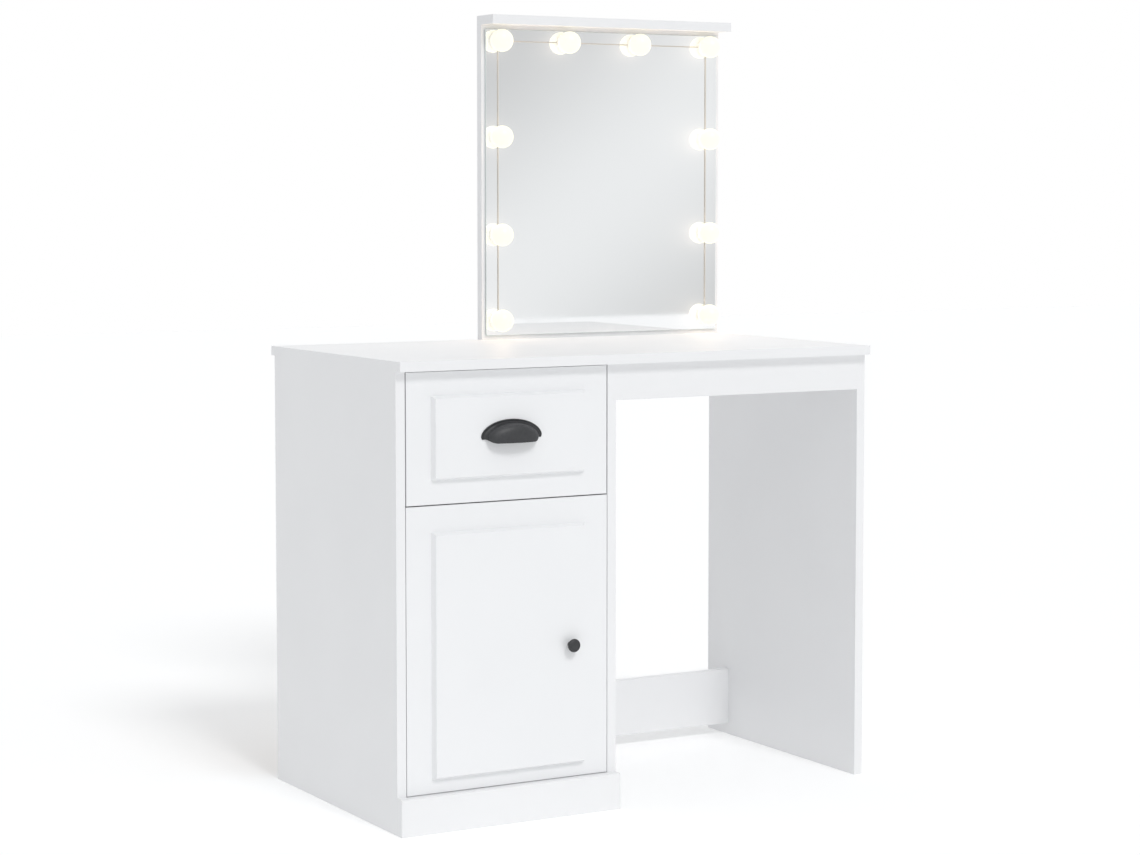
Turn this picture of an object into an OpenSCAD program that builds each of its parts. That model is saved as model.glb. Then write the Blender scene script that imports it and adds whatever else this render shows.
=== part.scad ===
// Vanity table: a worktop on a cabinet with a drawer and a door at the left, a kneehole
// at the right, and a mirror framed by small lamps standing on the worktop.
// Millimetres. +X runs to the right, +Y to the back and +Z up. The origin is on the floor,
// below the middle of the object's box. Each module draws in the table's own corner frame,
// which starts at the worktop's front left corner, and in_frame() moves it to the origin.

/* [Table] */
// Width of the worktop
table_w = 900; // [740:5:1100]
// Depth of the worktop
table_d = 500; // [415:5:600]
// Height of the worktop's top face above the floor
table_h = 750; // [620:5:900]
// Thickness of every coated board
board = 16; // [13.3:0.1:19.2]
// How far the worktop reaches past the side panels at the back
back_overhang = 14; // [11:1:17]

/* [Cabinet] */
// Width of the cabinet over both of its side panels
cabinet_w = 400; // [330:5:480]
// Height of the plinth board and of the cabinet floor's top face
plinth_h = 60; // [50:1:72]
// Height of the drawer front
drawer_front_h = 210; // [175:1:252]
// Gap round the drawer front
drawer_gap = 2; // [1.6:0.1:2.4]
// Gap round the door at its sides and foot
door_gap = 1.2; // [1:0.1:1.5]
// Thickness of the hardboard at the back of the cabinet and under the drawer
hardboard = 3; // [2.5:0.1:3.6]

/* [Raised panels] */
// How far the raised panels stand out of the drawer front and the door
raise_t = 10; // [8:0.5:12]
// Width of the sloping edge of a raised panel, seen from the front
raise_slope = 4; // [3:0.5:5]
// Margin left and right of the raised panels
raise_side = 43; // [35:1:52]
// Margin above and below the drawer's raised panel
raise_drawer = 38; // [31:1:46]
// Margin above the door's raised panel
raise_door_top = 42; // [35:1:51]
// Margin below the door's raised panel
raise_door_foot = 22; // [18:1:27]

/* [Kneehole] */
// Height of the apron under the worktop
apron_h = 60; // [50:1:72]
// Height of the back rail
rail_h = 102; // [85:1:123]
// Height of the back rail's lower edge above the floor
rail_z = 21; // [17:1:26]
// Distance from the worktop's back edge to the back rail's front face
rail_setback = 84; // [70:1:101]

/* [Drawer box] */
// Thickness of the drawer's side, back and inner front boards
drawer_board = 12; // [10:0.5:14]
// Space between the drawer box and the cabinet's back
drawer_back_space = 26; // [21:1:31]
// Height of the drawer's sides
drawer_side_h = 140; // [117:1:168]
// Height of the drawer sides above the drawer front's lower edge
drawer_lift = 18; // [15:1:22]

/* [Drawer runners] */
// Step between the lengths in which runners come
runner_step = 50; // [41:1:60]
// Height of a runner's outer channel
runner_h = 45; // [44:1:54]
// Space that a runner takes between a drawer side and a cabinet panel
runner_w = 12.7; // [12.7:0.1:15.2]
// Height of the runner's middle above the drawer front's lower edge
runner_lift = 63; // [53:1:75]

/* [Pull and knob] */
// Width of the pull's backplate
pull_w = 112; // [94:1:134]
// Height of the pull's backplate
pull_plate_h = 31; // [27:1:37]
// Distance that the pull stands out
pull_out = 22; // [18:1:26]
// Height of the backplate's foot above the drawer front's lower edge
pull_lift = 100; // [84:1:110]
// Distance between the pull's screws
pull_pitch = 64; // [54:1:70]
// Diameter of the knob's head
knob_d = 22; // [19:1:26]
// Distance that the knob stands out
knob_out = 17; // [15:1:20]
// Distance from the door's closing edge to the knob's middle
knob_edge = 75; // [63:1:90]

/* [Mirror] */
// Width of the mirror's backing board and header
mirror_w = 500; // [420:5:600]
// Height of the mirror with its header above the worktop
mirror_h = 575; // [480:5:690]
// Depth of the header
header_d = 60; // [50:1:72]
// Thickness of the mirror glass
glass_t = 3; // [2.5:0.1:3.6]
// Margin of backing board showing round the glass
glass_margin = 7; // [6:0.5:8]

/* [Lamps] */
// Distance of the outer lamps from the mirror board's sides
lamp_side = 31; // [26:1:37]
// Distance of the top row's second lamp from the board's left side
lamp_second = 169; // [141:1:203]
// Distance of the top row's third lamp from the board's left side
lamp_third = 317; // [264:1:340]
// Height of the lowest lamps above the worktop
lamp_low = 34; // [29:1:41]
// Height of the second lamps above the worktop
lamp_middle = 187; // [156:1:224]
// Height of the third lamps above the worktop
lamp_high = 361; // [301:1:380]
// Distance of the top row of lamps below the header
lamp_under_header = 28; // [26:1:34]
// Diameter of a lamp's globe
globe_d = 40; // [36:1:48]
// Diameter of a lamp's round base
lamp_base_d = 34; // [30:1:35]
// Thickness of a lamp's round base
lamp_base_t = 5; // [4:0.5:6]
// Diameter of the wire from lamp to lamp
wire_d = 2; // [1.6:0.1:2.4]

/* [Hidden] */
$fn = 48;

// Clearances
fit = 0.1;
slot_fit = 0.2;

// Heights
top_z = table_h - board;
floor_z = plinth_h - board;
drawer_top = top_z - drawer_gap;
drawer_z = drawer_top - drawer_front_h;
door_top = drawer_z - drawer_gap;
door_z = plinth_h + door_gap;
partition_top = drawer_z - 1;
partition_z = partition_top - board;
apron_z = top_z - apron_h;
runner_z = drawer_z + runner_lift;

// Depths
panel_y = board;
panel_end = table_d - back_overhang;
panel_d = panel_end - panel_y;
front_back = panel_y + board;
back_panel_y = panel_end - 8;
partition_y = front_back + 2;
raised_y = panel_y - raise_t;
box_y = front_back;
box_end = back_panel_y - drawer_back_space;
runner_y = front_back + 4;
runner_l = runner_step * floor((box_end - runner_y) / runner_step);
rail_y = table_d - rail_setback;

// Widths
inner_x = board;
inner_end = cabinet_w - board;
leg_x = table_w - board;
knee_w = leg_x - cabinet_w;
drawer_x = inner_x + drawer_gap;
drawer_end = inner_end - drawer_gap;
door_x = inner_x + door_gap;
door_end = inner_end - door_gap;
box_x = inner_x + runner_w;
box_side_end = inner_end - runner_w;
box_in = box_x + drawer_board;
box_in_end = box_side_end - drawer_board;
mirror_x = table_w - mirror_w;
mirror_y = table_d - board;
header_z = table_h + mirror_h - board;
tape_t = 1;
glass_y = mirror_y - tape_t - glass_t;

// Drawer box
box_z = drawer_z + drawer_lift;
box_top = box_z + drawer_side_h;
groove = 5;
bottom_z = box_z + 10;

// Groove for the cabinet's hardboard back
back_groove = 6;

// Cam fittings and dowels between the boards
cam_d = 15;
cam_past_middle = 4.5;
cam_t = board / 2 + cam_past_middle;
cam_reach = 34;
cam_bolt_d = 6;
cam_thread_d = 5;
cam_thread_l = 11;
cam_slot_d = 8;
dowel_d = 8;
dowel_l = 30;
dowel_in_face = 11;
end_cam = 60;
end_peg = 25;
low_cam = 20;

// Screws
screw_d = 4;
drawer_screw_l = 25;
small_screw_l = 12;
machine_d = 4;
machine_in = 8;
head_r = 4;
head_t = 2.2;
long_screw_d = 5;
long_screw_l = 50;
long_head_r = 5;

// Pull: its shell is half of a squashed ball, open at the foot
pull_wall = 1.6;
pull_plate_t = 1.5;
pull_half = pull_w / 2;
pull_x = cabinet_w / 2;
pull_z = drawer_z + pull_lift;
pull_drop = 6;
pull_rim = 9;
pull_top_rim = 6;
pull_post_r = 3.5;
pull_post_lift = 12;
pull_post_z = pull_z + pull_post_lift;
pull_post_l = 9;

// Knob
knob_x = door_end - knob_edge;
knob_z = (door_z + raise_door_foot + door_top - raise_door_top) / 2;
knob_head_t = 7;
knob_neck_r = 3.8;
knob_foot_r = 5;
knob_foot_t = 1.5;

// Hinges
cup_d = 35;
cup_depth = 11.5;
cup_wall = 1;
cup_edge = 22.5;
cup_x = door_x + cup_edge;
cup_plate_t = 1;
cup_screw_pitch = 45;
cup_screw_shift = 4;
hinge_end = 90;
hinge_zs = [door_z + hinge_end, door_top - hinge_end];
hinge_plate_t = 3;
hinge_plate_y = 60;
hinge_plate_l = 34;
hinge_plate_h = 44;
hinge_screw_pitch = 32;
arm_h = 14;
arm_wall = 1.4;
link_h = 10;

// Runner channels, as heights and depths across the runner
sheet = 1.2;
race = 3.7;
middle_h = runner_h - 2 * (sheet + race);
inner_h = middle_h - 2 * (sheet + race);
outer_depth = 9.5;
middle_start = 3.2;
middle_web = 5.5;
middle_end = 10.2;
inner_start = 6.9;

// Lamps, in the order in which the wire joins them: up the left, along the top, down the right
lamp_columns = [lamp_side, lamp_second, lamp_third, mirror_w - lamp_side];
side_rows = [lamp_low, lamp_middle, lamp_high];
top_row = mirror_h - board - lamp_under_header;
left_lamps = [for (z = side_rows) [lamp_side, z]];
top_lamps = [for (x = lamp_columns) [x, top_row]];
right_lamps = [for (k = [2:-1:0]) [mirror_w - lamp_side, side_rows[k]]];
lamp_spots = concat(left_lamps, top_lamps, right_lamps);
lamp_count = len(lamp_spots);
globe_r = globe_d / 2;
globe_wall = 1.5;
globe_seat_r = lamp_base_d / 2 - 1;
globe_centre = lamp_base_t + sqrt(globe_r * globe_r - globe_seat_r * globe_seat_r);
led_r = 11;
led_t = 1.2;
wire_in = 5;
wire_off_glass = wire_d / 2 + 0.2;

// The origin is below the middle of the object's box
front_end = min(0, raised_y - max(pull_out, knob_out));
middle_y = (front_end + table_d) / 2;

// Ways
right = [1, 0, 0];
left = [-1, 0, 0];
back = [0, 1, 0];
up = [0, 0, 1];
down = [0, 0, -1];

// ---------------------------------------------------------------- frame and helpers

module in_frame() translate([-table_w / 2, -middle_y, 0]) children();

// A block from its lowest corner to its highest corner
module block(low, high) translate(low) cube(high - low);

// A cylinder from a point, along a way
module rod(p, way, r, l) {
    turn = way[2] != 0 ? [way[2] > 0 ? 0 : 180, 0, 0]
         : way[1] != 0 ? [way[1] > 0 ? -90 : 90, 0, 0]
         : [0, way[0] > 0 ? 90 : -90, 0];
    translate(p) rotate(turn) cylinder(r = r, h = l);
}

// A screw with a round pan head: the head's underside is at p, and the shank runs along way
module pan_screw(p, way, d, l) {
    rod(p, way, d / 2, l);
    rod(p - head_t * way, way, head_r, head_t);
}

// A countersunk screw: its flat face is at p, and the shank runs along way
module sunk_screw(p, way, d, l, r) {
    turn = way[2] != 0 ? [way[2] > 0 ? 0 : 180, 0, 0]
         : way[1] != 0 ? [way[1] > 0 ? -90 : 90, 0, 0]
         : [0, way[0] > 0 ? 90 : -90, 0];
    translate(p) rotate(turn) {
        cylinder(r = d / 2, h = l);
        cylinder(r1 = r, r2 = d / 2, h = r - d / 2);
    }
}

// ---------------------------------------------------------------- joints between boards

// A joint is [point on the joint plane, way into the bored edge, side of the cam, cams, pegs].
// Cams and pegs are distances from the point along the run.
function joint(p, run, into, side, cams, pegs) = [
    [for (d = cams) [p + d * run, into, side]],
    [for (d = pegs) [p + d * run, into, side]]
];
function ends(length, setback) = [setback, length - setback];

left_top = joint([board / 2, panel_y, top_z], back, down, right,
    ends(panel_d, end_cam), ends(panel_d, end_peg));
divider_top = joint([cabinet_w - board / 2, panel_y, top_z], back, down, left,
    ends(panel_d, end_cam), ends(panel_d, end_peg));
leg_top = joint([leg_x + board / 2, panel_y, top_z], back, down, left,
    [], concat(ends(panel_d, end_peg), [panel_d / 2]));
apron_top = joint([cabinet_w, panel_y + board / 2, top_z], right, down, back,
    [knee_w / 4, 3 * knee_w / 4], [knee_w / 2]);
divider_apron = joint([cabinet_w, panel_y + board / 2, apron_z], up, right, back,
    [low_cam], [apron_h - low_cam]);
leg_apron = joint([leg_x, panel_y + board / 2, apron_z], up, left, back,
    [low_cam], [apron_h - low_cam]);
divider_rail = joint([cabinet_w, rail_y + board / 2, rail_z], up, right, back,
    [rail_h / 2], ends(rail_h, low_cam));
leg_rail = joint([leg_x, rail_y + board / 2, rail_z], up, left, back,
    [rail_h / 2], ends(rail_h, low_cam));
floor_run = back_panel_y - panel_y;
left_floor = joint([inner_x, panel_y, floor_z + board / 2], back, right, down,
    ends(floor_run, end_cam), ends(floor_run, end_peg));
divider_floor = joint([inner_end, panel_y, floor_z + board / 2], back, left, down,
    ends(floor_run, end_cam), ends(floor_run, end_peg));
partition_run = back_panel_y - partition_y;
left_partition = joint([inner_x, partition_y, partition_z + board / 2], back, right, up,
    ends(partition_run, end_cam), ends(partition_run, end_peg));
divider_partition = joint([inner_end, partition_y, partition_z + board / 2], back, left, up,
    ends(partition_run, end_cam), ends(partition_run, end_peg));
plinth_left = joint([board / 2, panel_y, 0], up, back, right,
    [low_cam], [plinth_h - board]);
plinth_divider = joint([cabinet_w - board / 2, panel_y, 0], up, back, left,
    [low_cam], [plinth_h - board]);
header_joint = joint([mirror_x, mirror_y + board / 2, header_z], right, down, back,
    ends(mirror_w, end_cam), concat(ends(mirror_w, end_peg), [mirror_w / 2]));
mirror_foot = joint([mirror_x, mirror_y + board / 2, table_h], right, up, back,
    [], ends(mirror_w, end_peg));

ALL_JOINTS = [
    left_top, divider_top, leg_top, apron_top, divider_apron, leg_apron, divider_rail,
    leg_rail, left_floor, divider_floor, left_partition, divider_partition, plinth_left,
    plinth_divider, header_joint, mirror_foot
];

// Puts +Z along the way into the edge and +X towards the cam's side
module at_spot(s) {
    z = s[1];
    x = s[2];
    y = cross(z, x);
    p = s[0];
    multmatrix([
        [x[0], y[0], z[0], p[0]],
        [x[1], y[1], z[1], p[1]],
        [x[2], y[2], z[2], p[2]],
        [0, 0, 0, 1]
    ]) children();
}

module cam_housing() {
    difference() {
        translate([board / 2 - cam_t, 0, cam_reach])
            rotate([0, 90, 0]) cylinder(d = cam_d, h = cam_t - fit);
        translate([0, 0, cam_reach - cam_d]) cylinder(d = cam_slot_d - fit, h = cam_d + 3);
        translate([board / 2 - 2, 0, cam_reach])
            rotate([0, 90, 0]) cylinder(d = 5, h = 3, $fn = 6);
    }
}

module cam_bolt() {
    translate([0, 0, -cam_thread_l]) cylinder(d = cam_thread_d, h = cam_thread_l);
    cylinder(d = cam_bolt_d, h = cam_reach - 2);
    translate([0, 0, cam_reach - 2]) cylinder(d = cam_bolt_d - 2, h = 2);
    translate([0, 0, cam_reach]) cylinder(d = cam_bolt_d + 1, h = 2);
}

// What a joint takes out of the boards
module joint_cuts(j) {
    for (s = j[0]) at_spot(s) {
        translate([0, 0, -cam_thread_l - fit])
            cylinder(d = cam_thread_d + 2 * fit, h = cam_thread_l + 2 * fit);
        cylinder(d = cam_slot_d, h = cam_reach);
        translate([board / 2 - cam_t - fit, 0, cam_reach])
            rotate([0, 90, 0]) cylinder(d = cam_d + 2 * fit, h = cam_t + 1);
    }
    for (s = j[1]) at_spot(s)
        translate([0, 0, -dowel_in_face - 1]) cylinder(d = dowel_d + 2 * fit, h = dowel_l + 2);
}

// A board with the cuts of the joints that it shares
module jointed(low, high, joints) {
    difference() {
        block(low, high);
        for (j = joints) joint_cuts(j);
    }
}

// ---------------------------------------------------------------- table boards

module worktop() color("white") in_frame() difference() {
    jointed([0, 0, top_z], [table_w, table_d, table_h],
        [left_top, divider_top, leg_top, apron_top, mirror_foot]);
    mirror_screw_holes();
    back_panel_groove();
}

module left_side_panel() color("white") in_frame() difference() {
    jointed([0, panel_y, 0], [board, panel_end, top_z],
        [left_top, left_floor, left_partition, plinth_left]);
    back_panel_groove();
    cabinet_screw_holes();
}

module divider_panel() color("white") in_frame() difference() {
    jointed([inner_end, panel_y, 0], [cabinet_w, panel_end, top_z],
        [divider_top, divider_apron, divider_rail, divider_floor, divider_partition,
         plinth_divider]);
    back_panel_groove();
    cabinet_screw_holes();
}

module right_leg_panel() color("white") in_frame()
    jointed([leg_x, panel_y, 0], [table_w, panel_end, top_z], [leg_top, leg_apron, leg_rail]);

module plinth_board() color("white") in_frame()
    jointed([0, 0, 0], [cabinet_w, board, plinth_h], [plinth_left, plinth_divider]);

module cabinet_floor() color("white") in_frame()
    jointed([inner_x, panel_y, floor_z], [inner_end, back_panel_y, plinth_h],
        [left_floor, divider_floor]);

module drawer_partition() color("white") in_frame()
    jointed([inner_x, partition_y, partition_z], [inner_end, back_panel_y, partition_top],
        [left_partition, divider_partition]);

// The groove that holds the cabinet's back runs down both sides
module back_panel_groove() block(
    [inner_x - back_groove, back_panel_y - slot_fit / 2, floor_z],
    [inner_end + back_groove, back_panel_y + hardboard + slot_fit / 2, top_z]);

module cabinet_back() color("white") in_frame() block(
    [inner_x - back_groove + slot_fit, back_panel_y, floor_z + slot_fit],
    [inner_end + back_groove - slot_fit, back_panel_y + hardboard, top_z - slot_fit]);

module front_apron() color("white") in_frame()
    jointed([cabinet_w, panel_y, apron_z], [leg_x, panel_y + board, top_z],
        [apron_top, divider_apron, leg_apron]);

module back_rail() color("white") in_frame()
    jointed([cabinet_w, rail_y, rail_z], [leg_x, rail_y + board, rail_z + rail_h],
        [divider_rail, leg_rail]);

module cam_housings() color("silver") in_frame()
    for (j = ALL_JOINTS) for (s = j[0]) at_spot(s) cam_housing();

module cam_bolts() color("silver") in_frame()
    for (j = ALL_JOINTS) for (s = j[0]) at_spot(s) cam_bolt();

module dowels() color("burlywood") in_frame()
    for (j = ALL_JOINTS) for (s = j[1]) at_spot(s)
        translate([0, 0, -dowel_in_face]) cylinder(d = dowel_d, h = dowel_l);

// ---------------------------------------------------------------- mirror

module mirror_board() color("white") in_frame() difference() {
    jointed([mirror_x, mirror_y, table_h], [table_w, table_d, header_z],
        [header_joint, mirror_foot]);
    mirror_screw_holes();
}

module mirror_header() color("white") in_frame()
    jointed([mirror_x, table_d - header_d, header_z], [table_w, table_d, header_z + board],
        [header_joint]);

module mirror_glass() color("lightgray") in_frame() block(
    [mirror_x + glass_margin, glass_y, table_h + glass_margin],
    [table_w - glass_margin, glass_y + glass_t, header_z - glass_margin]);

// Upright strips of double-sided foam tape hold the glass to its board
tape_w = 25;
tape_inset = 40;
tape_short = 60;
module mirror_tape() color("dimgray") in_frame()
    for (x = [mirror_x + tape_inset, mirror_x + (mirror_w - tape_w) / 2,
              table_w - tape_inset - tape_w])
        block([x, glass_y + glass_t, table_h + tape_short],
              [x + tape_w, mirror_y, header_z - tape_short]);

mirror_screw_end = 90;
mirror_screw_xs = [mirror_x + mirror_screw_end, mirror_x + mirror_w / 2,
                   table_w - mirror_screw_end];
module mirror_board_screws() color("silver") in_frame()
    for (x = mirror_screw_xs)
        sunk_screw([x, mirror_y + board / 2, top_z], up, long_screw_d, long_screw_l, long_head_r);

module mirror_screw_holes()
    for (x = mirror_screw_xs)
        sunk_screw([x, mirror_y + board / 2, top_z], up,
            long_screw_d + 2 * fit, long_screw_l + fit, long_head_r + fit);

// ---------------------------------------------------------------- lamps on the mirror

function lamp_at(i) = [mirror_x + lamp_spots[i][0], glass_y, table_h + lamp_spots[i][1]];

// Half of the globe's wall, cut off flat where it sits on its base
module globe_profile() difference() {
    translate([0, globe_centre]) circle(r = globe_r);
    translate([0, globe_centre]) circle(r = globe_r - globe_wall);
    translate([-globe_d, lamp_base_t - globe_d]) square([2 * globe_d, globe_d]);
    translate([-globe_d, 0]) square([globe_d, 2 * globe_d]);
}

module lamp_globe(i) color("lightyellow") in_frame()
    translate(lamp_at(i)) rotate([90, 0, 0]) rotate_extrude() globe_profile();

module lamp_bases() color("white") in_frame() difference() {
    for (i = [0:lamp_count - 1]) rod(lamp_at(i), -back, lamp_base_d / 2, lamp_base_t);
    wire_runs(wire_d / 2 + fit, wire_in + fit);
}

module lamp_led_boards() color("khaki") in_frame()
    for (i = [0:lamp_count - 1]) rod(lamp_at(i) - lamp_base_t * back, -back, led_r, led_t);

// Each stretch of wire runs straight from one base into the next
module wire_runs(r, reach) {
    for (i = [0:lamp_count - 2]) {
        a = lamp_at(i);
        b = lamp_at(i + 1);
        way = (b - a) / norm(b - a);
        start = a + (lamp_base_d / 2 - reach) * way - wire_off_glass * back;
        rod(start, way, r, norm(b - a) - lamp_base_d + 2 * reach);
    }
}

module lamp_wires() color("ivory") in_frame() wire_runs(wire_d / 2, wire_in);

// ---------------------------------------------------------------- drawer and door fronts

// A raised panel with sloping edges, standing out of the plane y = panel_y
module raised_panel(x0, x1, z0, z1) {
    w = x1 - x0;
    h = z1 - z0;
    translate([x0, panel_y, z0]) intersection() {
        rotate([90, 0, 90]) linear_extrude(w) polygon([
            [0, 0], [0, h], [-raise_t, h - raise_slope], [-raise_t, raise_slope]]);
        linear_extrude(h) polygon([
            [0, 0], [w, 0], [w - raise_slope, -raise_t], [raise_slope, -raise_t]]);
    }
}

module drawer_front() color("white") in_frame() difference() {
    union() {
        block([drawer_x, panel_y, drawer_z], [drawer_end, front_back, drawer_top]);
        raised_panel(drawer_x + raise_side, drawer_end - raise_side,
            drawer_z + raise_drawer, drawer_top - raise_drawer);
    }
    pull_screw_holes();
    drawer_screw_holes();
}

module cabinet_door() color("white") in_frame() difference() {
    union() {
        block([door_x, panel_y, door_z], [door_end, front_back, door_top]);
        raised_panel(door_x + raise_side + drawer_gap - door_gap,
            door_end - raise_side - drawer_gap + door_gap,
            door_z + raise_door_foot, door_top - raise_door_top);
    }
    rod([knob_x, raised_y - 1, knob_z], back, machine_d / 2 + fit, raise_t + board + 2);
    for (z = hinge_zs) {
        rod([cup_x, front_back - cup_depth - fit, z], back, cup_d / 2 + fit, cup_depth + 1);
        cup_screw_holes(z);
    }
}

// ---------------------------------------------------------------- drawer box

inner_front_y = box_y;
inner_front_end = box_y + drawer_board;
drawer_back_y = box_end - drawer_board;

module bottom_groove() block(
    [box_in - groove, inner_front_end - groove, bottom_z - slot_fit / 2],
    [box_in_end + groove, box_end + 1, bottom_z + hardboard + slot_fit / 2]);

module drawer_inner_front() color("white") in_frame() difference() {
    block([box_in, inner_front_y, box_z], [box_in_end, inner_front_end, box_top]);
    bottom_groove();
    drawer_screw_holes();
    pull_screw_holes();
}

module drawer_side(x) difference() {
    block([x, box_y, box_z], [x + drawer_board, box_end, box_top]);
    bottom_groove();
    drawer_screw_holes();
    runner_screws(0, fit, drawer_way(x < cabinet_w / 2));
}

module drawer_left_side() color("white") in_frame() drawer_side(box_x);

module drawer_right_side() color("white") in_frame() drawer_side(box_in_end);

module drawer_back() color("white") in_frame() difference() {
    block([box_in, drawer_back_y, bottom_z + hardboard + slot_fit / 2],
          [box_in_end, box_end, box_top]);
    drawer_screw_holes();
}

module drawer_bottom() color("white") in_frame() block(
    [box_in - groove + slot_fit, inner_front_end - groove + slot_fit, bottom_z],
    [box_in_end + groove - slot_fit, box_end, bottom_z + hardboard]);

// Countersunk screws: from outside each side into the inner front and the back, and from
// inside the box into the front
box_screw_zs = [box_z + 25, box_top - 25];
front_screw_zs = [box_z + 35, box_top - 30];
front_screw_in = 30;
module drawer_screw_set(extra) {
    r = head_r + extra;
    d = screw_d + 2 * extra;
    l = drawer_screw_l + extra;
    for (z = box_screw_zs) for (y = [inner_front_y + drawer_board / 2, box_end - drawer_board / 2]) {
        sunk_screw([box_x, y, z], right, d, l, r);
        sunk_screw([box_side_end, y, z], left, d, l, r);
    }
    for (z = front_screw_zs) for (x = [box_in + front_screw_in, box_in_end - front_screw_in])
        sunk_screw([x, inner_front_end, z], -back, d, l, r);
}

module drawer_screw_holes() drawer_screw_set(fit);

module drawer_box_screws() color("silver") in_frame() drawer_screw_set(0);

// ---------------------------------------------------------------- pull and knob

// One half of an ellipse that stands on the X axis
function half_ellipse(a, b, steps) = [for (k = [0:steps]) [a * cos(180 * k / steps),
                                                           b * sin(180 * k / steps)]];

module squashed_ball(a, b, c) scale([a, b, c]) sphere(r = 1, $fn = 40);

module drawer_pull() color("dimgray") in_frame() translate([pull_x, raised_y, pull_z]) difference() {
    union() {
        // backplate, rounded at its foot
        rotate([90, 0, 0]) linear_extrude(pull_plate_t) difference() {
            polygon(half_ellipse(pull_half, pull_plate_h, 40));
            translate([0, -pull_drop])
                polygon(half_ellipse(pull_half - pull_rim, pull_plate_h + pull_drop - pull_top_rim, 40));
        }
        // hollow shell
        difference() {
            squashed_ball(pull_half - pull_rim + pull_wall, pull_out,
                pull_plate_h + 1 - pull_top_rim + pull_wall);
            squashed_ball(pull_half - pull_rim, pull_out - pull_wall,
                pull_plate_h + 1 - pull_top_rim);
            block([-pull_w, 0, -pull_w], [pull_w, pull_w, pull_w]);
            block([-pull_w, -pull_w, -pull_w], [pull_w, pull_w, -pull_drop]);
        }
        for (x = [-pull_pitch / 2, pull_pitch / 2])
            rod([x, 0, pull_post_lift], -back, pull_post_r, pull_post_l + 1);
    }
    for (x = [-pull_pitch / 2, pull_pitch / 2])
        rod([x, 1, pull_post_lift], -back, machine_d / 2 + fit, pull_post_l + 1);
}

// Machine screws from inside the drawer into the posts of the pull
module pull_screws() color("silver") in_frame()
    for (x = [-pull_pitch / 2, pull_pitch / 2])
        pan_screw([pull_x + x, inner_front_end, pull_post_z], -back, machine_d,
            inner_front_end - raised_y + machine_in);

module pull_screw_holes()
    for (x = [-pull_pitch / 2, pull_pitch / 2])
        rod([pull_x + x, inner_front_end + 1, pull_post_z], -back, machine_d / 2 + fit,
            drawer_board + board + raise_t + 2);

module door_knob() color("black") in_frame() translate([knob_x, raised_y, knob_z]) rotate([90, 0, 0])
    difference() {
        union() {
            cylinder(r = knob_foot_r, h = knob_foot_t);
            cylinder(r = knob_neck_r, h = knob_out - knob_head_t + 1);
            translate([0, 0, knob_out - knob_head_t]) rotate_extrude() {
                square([knob_d / 2 - knob_head_t / 2, knob_head_t]);
                translate([knob_d / 2 - knob_head_t / 2, knob_head_t / 2])
                    circle(r = knob_head_t / 2);
            }
        }
        translate([0, 0, -1]) cylinder(r = machine_d / 2 + fit, h = machine_in + 2);
    }

module knob_screw() color("silver") in_frame()
    pan_screw([knob_x, front_back, knob_z], -back, machine_d, board + raise_t + machine_in);

// ---------------------------------------------------------------- concealed hinges

module hinge_cup(z) color("silver") in_frame() difference() {
    union() {
        rod([cup_x, front_back - cup_depth, z], back, cup_d / 2, cup_depth);
        rod([cup_x, front_back, z], back, cup_d / 2 + 2, cup_plate_t);
        block([cup_x + cup_screw_shift - 6, front_back, z - cup_screw_pitch / 2 - 6],
              [cup_x + cup_screw_shift + 6, front_back + cup_plate_t, z + cup_screw_pitch / 2 + 6]);
    }
    rod([cup_x, front_back - cup_depth + cup_wall, z], back, cup_d / 2 - cup_wall, cup_depth + 2);
    cup_screw_holes(z);
}

module cup_screw_holes(z)
    for (s = [-1, 1])
        rod([cup_x + cup_screw_shift, front_back + cup_plate_t + 1, z + s * cup_screw_pitch / 2],
            -back, screw_d / 2 + fit, small_screw_l + 1 + fit);

module hinge_cup_screws() color("silver") in_frame()
    for (z = hinge_zs) for (s = [-1, 1])
        pan_screw([cup_x + cup_screw_shift, front_back + cup_plate_t, z + s * cup_screw_pitch / 2],
            -back, screw_d, small_screw_l);

// The link lies in the cup and ends in an eye in front of the arm
module hinge_link(z) color("silver") in_frame() translate([cup_x, front_back, z - link_h / 2]) {
    block([-4, cup_wall - cup_depth, 0], [9, cup_wall - cup_depth + 1.5, link_h]);
    block([-4, cup_wall - cup_depth, 0], [-2.5, 8, link_h]);
    translate([-3.2, 9, 0]) cylinder(r = 2.2, h = link_h);
}

// The arm is a channel that bends from the plate to the front; its open side faces the panel
module arm_outline() polygon([
    [0, 42], [0, 18], [3, 6], [9, -4], [13.8, -4], [13.8, 2], [9.6, 8], [7.6, 18], [7.6, 42]]);
arm_x = inner_x + hinge_plate_t;
arm_y = hinge_plate_y - 18;

module hinge_arm(z) color("silver") in_frame() translate([arm_x, arm_y, z - arm_h / 2]) difference() {
    linear_extrude(arm_h) arm_outline();
    translate([-arm_wall, 0, arm_wall]) linear_extrude(arm_h - 2 * arm_wall) arm_outline();
}

module hinge_plate(z) color("silver") in_frame() difference() {
    block([inner_x, hinge_plate_y, z - hinge_plate_h / 2],
          [inner_x + hinge_plate_t, hinge_plate_y + hinge_plate_l, z + hinge_plate_h / 2]);
    cabinet_screw_holes();
}

// ---------------------------------------------------------------- drawer runners

// Each channel is drawn for the left side: u runs from the panel to the drawer, w up
module channel(u0, u1, web0, h) {
    for (s = [-1, 1]) translate([u0, s > 0 ? h / 2 - sheet : -h / 2]) square([u1 - u0, sheet]);
    translate([web0, -h / 2]) square([sheet, h]);
}

module on_side(is_left)
    translate([is_left ? inner_x : inner_end, runner_y, runner_z])
        mirror([is_left ? 0 : 1, 0, 0])
            rotate([90, 0, 0]) translate([0, 0, -runner_l]) children();

module runner_cabinet(is_left) color("silver") in_frame() difference() {
    on_side(is_left) linear_extrude(runner_l) channel(0, outer_depth, 0, runner_h);
    cabinet_screw_holes();
}

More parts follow.
